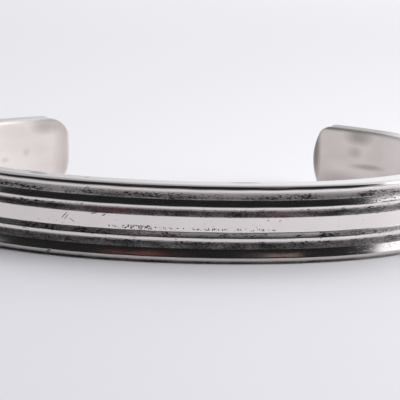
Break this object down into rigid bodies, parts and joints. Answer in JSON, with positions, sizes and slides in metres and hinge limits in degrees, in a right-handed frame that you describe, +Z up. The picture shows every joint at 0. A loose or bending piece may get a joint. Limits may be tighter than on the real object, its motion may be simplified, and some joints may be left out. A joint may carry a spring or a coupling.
{
  "type": "cuff bracelet",
  "caption": "Open silver cuff bracelet: one solid band with a flat channel between two ridges and coved rims, bent round the wrist, with rounded ends and a gap.",
  "frame": {"origin": "middle of the cuff's footprint, on the surface that it lies on", "axes": "+X across the wrist hollow's width, +Y from the front of the band towards the gap, +Z up across the band"},
  "size_m": [0.0622, 0.0468, 0.0082],
  "materials": {
    "silver": "polished silver, worn, with fine scratches and dark tarnish in the grooves"
  },
  "bodies": {
    "root": {"cuff_band": "silver"}
  },
  "joints": []
}
